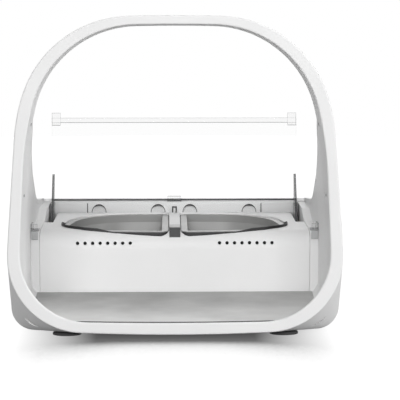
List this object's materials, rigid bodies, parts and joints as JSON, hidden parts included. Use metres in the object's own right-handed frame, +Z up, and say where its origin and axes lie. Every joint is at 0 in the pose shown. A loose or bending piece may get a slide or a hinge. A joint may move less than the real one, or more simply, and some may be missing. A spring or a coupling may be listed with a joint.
{
  "type": "microchip pet feeder",
  "caption": "Covered pet feeder: a hooped tunnel with chip reader, two weighed bowls under a clear motor-driven lid, and a battery housing behind.",
  "frame": {"origin": "under the middle of the feeder, on the surface that it stands on", "axes": "+X to the feeder's right as seen from the hoop, +Y from the hoop to the rear, +Z up"},
  "size_m": [0.231, 0.32, 0.222],
  "materials": {
    "white_abs": "smooth white moulded plastic, softly glossy",
    "grey_mat": "matt grey flexible plastic",
    "bowl_grey": "satin mid-grey moulded plastic",
    "trim_grey": "satin light grey plastic",
    "pad_rubber": "matt dark grey rubber",
    "clear_sheet": "clear moulded polycarbonate",
    "clear_edge": "clear moulded polycarbonate, seen edge-on",
    "dark_window": "dark infrared-passing plastic",
    "board_green": "solder-masked circuit board",
    "switch_black": "black nylon",
    "gear_pom": "natural acetal",
    "steel": "zinc-plated steel",
    "motor_steel": "plated motor can",
    "aluminium": "machined aluminium",
    "copper": "enamelled copper winding",
    "cell_wrap": "plain printed cell sleeve, no lettering",
    "foot_rubber": "matt rubber",
    "bush_nylon": "natural nylon",
    "button_grey": "satin grey plastic"
  },
  "bodies": {
    "body": {"hoop_front": "white_abs", "hoop_rear_cover": "white_abs", "antenna_coil": "copper", "ir_windows": "dark_window", "housing": "white_abs", "tunnel_liner": "white_abs", "base_cover": "trim_grey", "base_screws": "steel", "rubber_feet": "foot_rubber", "bowl_tray": "white_abs", "bowl_left": "bowl_grey", "bowl_right": "bowl_grey", "bridge_block": "trim_grey", "bridge_pad": "pad_rubber", "weigh_plate": "white_abs", "load_cells": "aluminium", "load_cell_spacers": "trim_grey", "light_windows_left": "dark_window", "light_windows_right": "dark_window", "light_board_left": "board_green", "light_board_right": "board_green", "rear_wall": "white_abs", "lid_stop": "clear_edge", "axle_bushes": "bush_nylon", "idler_pin": "steel", "gear_motor": "motor_steel", "motor_cradle": "trim_grey", "battery_box": "switch_black", "battery_cells": "cell_wrap", "battery_contacts": "steel", "main_board": "board_green", "button_switches": "switch_black", "board_screws": "steel", "corner_catch_left": "trim_grey", "corner_catch_right": "trim_grey"},
    "lid": {"lid_sheet": "clear_sheet", "lid_bar": "clear_edge", "lid_arm_left": "clear_edge", "lid_arm_right": "clear_edge", "lid_gear": "gear_pom"},
    "idler": {"idler_gear": "gear_pom"},
    "pinion": {"motor_pinion": "gear_pom"},
    "mat": {"mat": "grey_mat"},
    "door_left": {"battery_door_left": "trim_grey"},
    "door_right": {"battery_door_right": "trim_grey"},
    "add_pet_button": {"button_add_pet": "button_grey"},
    "zero_button": {"button_zero": "button_grey"},
    "lid_button": {"button_lid": "button_grey"}
  },
  "joints": [
    {"name": "lid_hinge", "type": "hinge", "parent": "body", "child": "lid", "pos_m": [0, 0.0645, 0.044], "axis": [1, 0, 0], "range_deg": [0, 90]},
    {"name": "idler_spin", "type": "hinge", "parent": "body", "child": "idler", "pos_m": [0, 0.09001, 0.039], "axis": [1, 0, 0], "range_deg": [-150, 6]},
    {"name": "pinion_spin", "type": "hinge", "parent": "body", "child": "pinion", "pos_m": [0, 0.10601, 0.039], "axis": [1, 0, 0], "range_deg": [-6, 250]},
    {"name": "mat_lift", "type": "slide", "parent": "body", "child": "mat", "axis": [0, 0, 1], "range_m": [0, 0.012]},
    {"name": "door_left_lift", "type": "slide", "parent": "body", "child": "door_left", "axis": [0, 0, -1], "range_m": [0, 0.012]},
    {"name": "door_right_lift", "type": "slide", "parent": "body", "child": "door_right", "axis": [0, 0, -1], "range_m": [0, 0.012]},
    {"name": "add_pet_button_press", "type": "slide", "parent": "body", "child": "add_pet_button", "axis": [0, -0.2686, -0.9633], "range_m": [0, 0.001], "stiffness_N_per_m": 400, "springref_m": -0.001},
    {"name": "zero_button_press", "type": "slide", "parent": "body", "child": "zero_button", "axis": [0, -0.2686, -0.9633], "range_m": [0, 0.001], "stiffness_N_per_m": 400, "springref_m": -0.001},
    {"name": "lid_button_press", "type": "slide", "parent": "body", "child": "lid_button", "axis": [0, -0.2686, -0.9633], "range_m": [0, 0.001], "stiffness_N_per_m": 400, "springref_m": -0.001}
  ],
  "couplings": [
    {"joint": "idler_spin", "follows": "lid_hinge", "ratio": -1.6},
    {"joint": "pinion_spin", "follows": "lid_hinge", "ratio": 2.6667}
  ]
}
